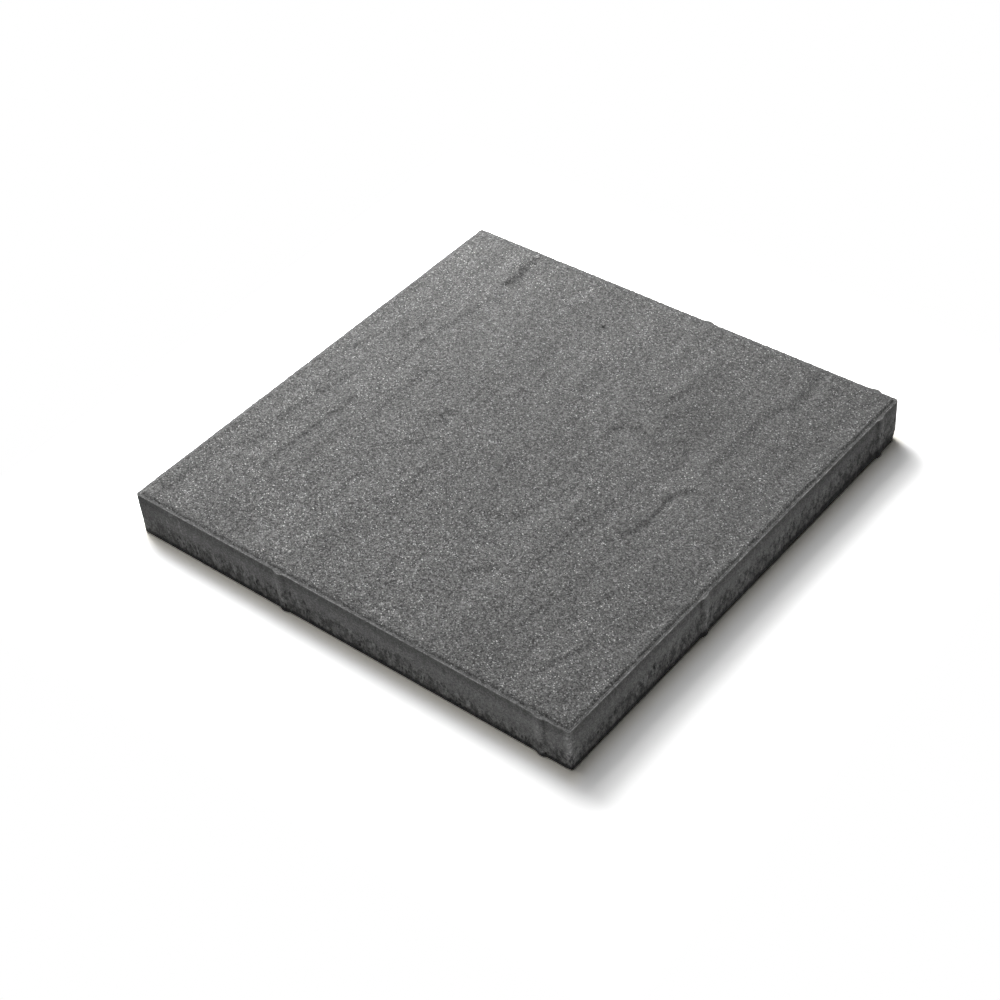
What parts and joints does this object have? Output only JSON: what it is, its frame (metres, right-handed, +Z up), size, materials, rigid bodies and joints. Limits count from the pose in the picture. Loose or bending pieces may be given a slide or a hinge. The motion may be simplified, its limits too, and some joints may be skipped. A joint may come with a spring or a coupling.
{
  "type": "concrete paving slab",
  "caption": "Square cast concrete paving slab with a riven, slate-look wearing face, a bevelled and stepped top edge, and spacer nibs down its sides.",
  "frame": {"origin": "centre of the flat bed, on the plane that the slab lies on", "axes": "+Z up through the thickness to the wearing face, +X and +Y square to the sides"},
  "size_m": [0.403, 0.403, 0.04],
  "materials": {
    "concrete": "matt, sandy charcoal grey concrete"
  },
  "bodies": {
    "root": {"slab": "concrete"}
  },
  "joints": []
}
